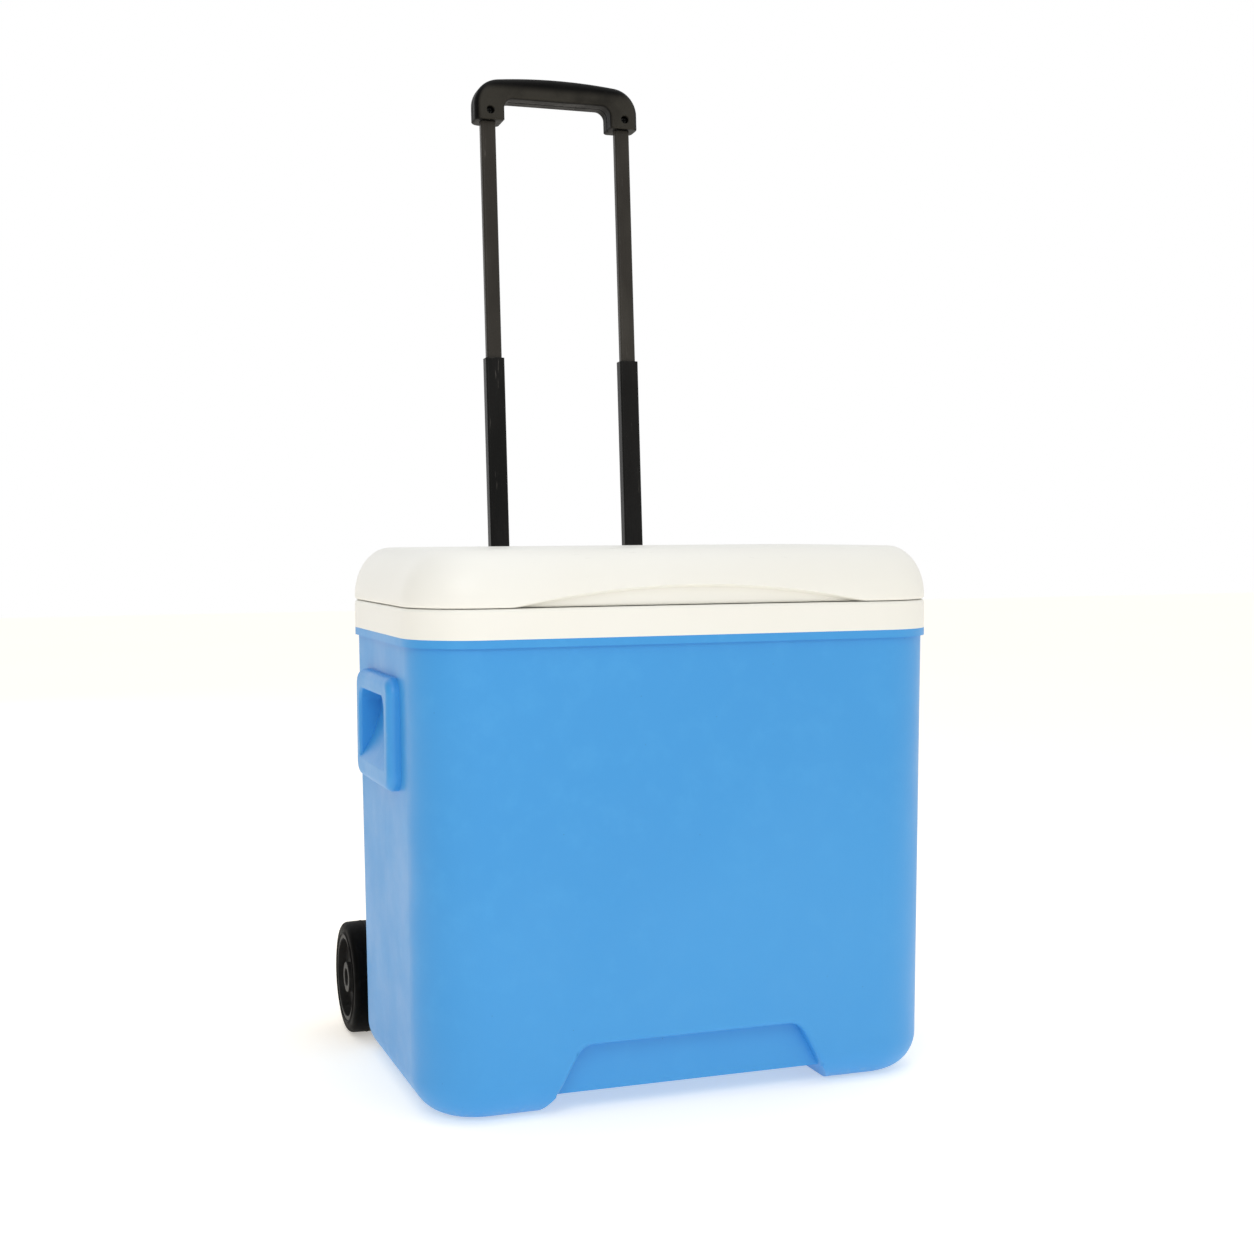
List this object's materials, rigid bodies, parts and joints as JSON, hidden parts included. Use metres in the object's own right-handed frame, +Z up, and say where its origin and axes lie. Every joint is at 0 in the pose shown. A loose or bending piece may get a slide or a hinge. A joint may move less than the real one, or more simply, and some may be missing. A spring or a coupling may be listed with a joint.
{
  "type": "wheeled cooler",
  "caption": "Hard-sided ice chest on two rear wheels with a hinged white lid, moulded hand scoops in the sides and a two-stage pull-out handle.",
  "frame": {"origin": "On the ground under the middle of the whole object's box, handle pulled out.", "axes": "+X to the right as seen from the front, +Y to the back where the wheels and handle are, +Z up."},
  "size_m": [0.474, 0.3888, 0.9113],
  "materials": {
    "blue_shell": "satin",
    "white_plastic": "satin",
    "black_plastic": "satin",
    "grip_plastic": "satin",
    "hub_grey": "satin",
    "glide_nylon": "matte",
    "tyre": "matte",
    "black_tube": "satin",
    "zinc_steel": "satin",
    "black_steel": "satin",
    "foam": "matte"
  },
  "bodies": {
    "chest": {"outer_shell": "blue_shell", "inner_liner": "white_plastic", "body_foam": "foam", "left_hinge_base": "white_plastic", "right_hinge_base": "white_plastic", "hinge_base_screws": "zinc_steel", "upper_bracket": "black_plastic", "tube_clamp": "black_plastic", "axle_carrier": "black_plastic", "bracket_screws": "zinc_steel", "carrier_screws": "zinc_steel", "clamp_screws": "zinc_steel", "left_guide_tube": "black_tube", "right_guide_tube": "black_tube", "left_guide_bushing": "black_plastic", "right_guide_bushing": "black_plastic", "axle_rod": "zinc_steel", "axle_push_nuts": "zinc_steel", "wheel_spacers": "black_plastic"},
    "lid": {"lid_shell": "white_plastic", "lid_panel": "white_plastic", "lid_foam": "foam", "left_lid_hinge": "white_plastic", "right_lid_hinge": "white_plastic", "lid_hinge_screws": "zinc_steel", "hinge_pins": "zinc_steel"},
    "lower_stage": {"left_lower_tube": "black_tube", "right_lower_tube": "black_tube", "left_lower_sleeve": "black_plastic", "right_lower_sleeve": "black_plastic", "left_lower_glide": "glide_nylon", "right_lower_glide": "glide_nylon"},
    "upper_stage": {"left_upper_tube": "black_tube", "right_upper_tube": "black_tube", "left_upper_glide": "glide_nylon", "right_upper_glide": "glide_nylon", "grip_front": "grip_plastic", "grip_back": "grip_plastic", "grip_screws": "black_steel"},
    "left_wheel": {"left_tyre": "tyre", "left_wheel_hub": "hub_grey"},
    "right_wheel": {"right_tyre": "tyre", "right_wheel_hub": "hub_grey"}
  },
  "joints": [
    {"name": "lid_hinge", "type": "hinge", "parent": "chest", "child": "lid", "pos_m": [0, 0.08957, 0.425], "axis": [-1, 0, 0], "range_deg": [0, 95]},
    {"name": "lower_stage_slide", "type": "slide", "parent": "chest", "child": "lower_stage", "axis": [0, 0.0677, 0.9977], "range_m": [-0.222, 0]},
    {"name": "upper_stage_slide", "type": "slide", "parent": "lower_stage", "child": "upper_stage", "axis": [0, 0.0677, 0.9977], "range_m": [-0.222, 0]},
    {"name": "left_wheel_spin", "type": "hinge", "parent": "chest", "child": "left_wheel", "pos_m": [-0.213, 0.12157, 0.052], "axis": [1, 0, 0], "continuous": true},
    {"name": "right_wheel_spin", "type": "hinge", "parent": "chest", "child": "right_wheel", "pos_m": [0.213, 0.12157, 0.052], "axis": [1, 0, 0], "continuous": true}
  ]
}
